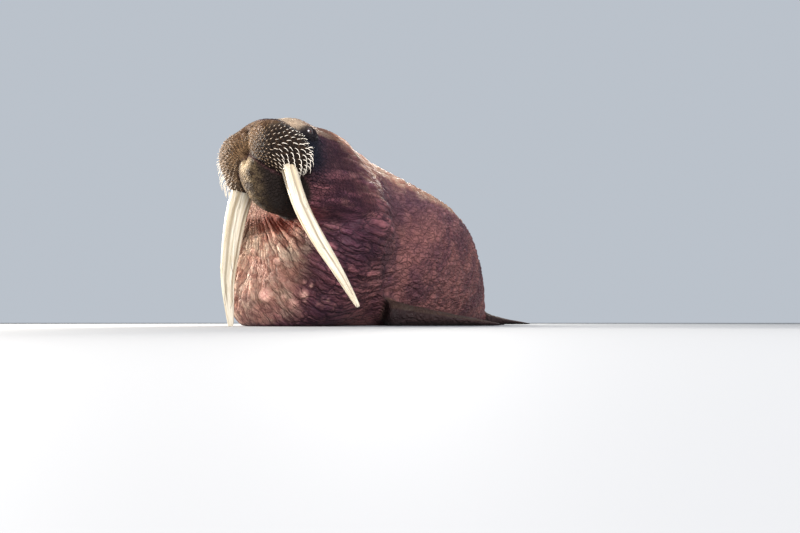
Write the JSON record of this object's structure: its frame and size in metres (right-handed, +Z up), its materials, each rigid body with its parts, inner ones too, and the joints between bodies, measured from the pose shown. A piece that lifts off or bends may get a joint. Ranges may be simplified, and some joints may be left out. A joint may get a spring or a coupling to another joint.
{
  "type": "walrus",
  "caption": "Life-size museum-style model of an adult male walrus resting on its belly, neck bent to its own left, head facing forwards, long tusks reaching down to the floor.",
  "frame": {"origin": "on the floor, under the middle of the whole animal's box", "axes": "+Z up, +Y towards the tail along the straight back, +X to the animal's own left; the head is at the -Y end"},
  "size_m": [1.5594, 3.2512, 0.872],
  "materials": {
    "hide": "matte, deeply wrinkled",
    "pad": "matte, set with rows of bristles",
    "chin": "matte, short-haired",
    "flipper": "matte, ribbed",
    "ivory": "satin, with fine lengthwise cracks",
    "eye": "wet gloss"
  },
  "bodies": {
    "root": {"head": "hide", "lower_jaw": "chin", "neck": "hide", "chest": "hide", "trunk": "hide", "rump": "hide", "tail": "hide", "whisker_pad_left": "pad", "tusk_left": "ivory", "eye_left": "eye", "fore_flipper_left": "flipper", "hind_flipper_left": "flipper", "whisker_pad_right": "pad", "tusk_right": "ivory", "eye_right": "eye", "fore_flipper_right": "flipper", "hind_flipper_right": "flipper"}
  },
  "joints": []
}
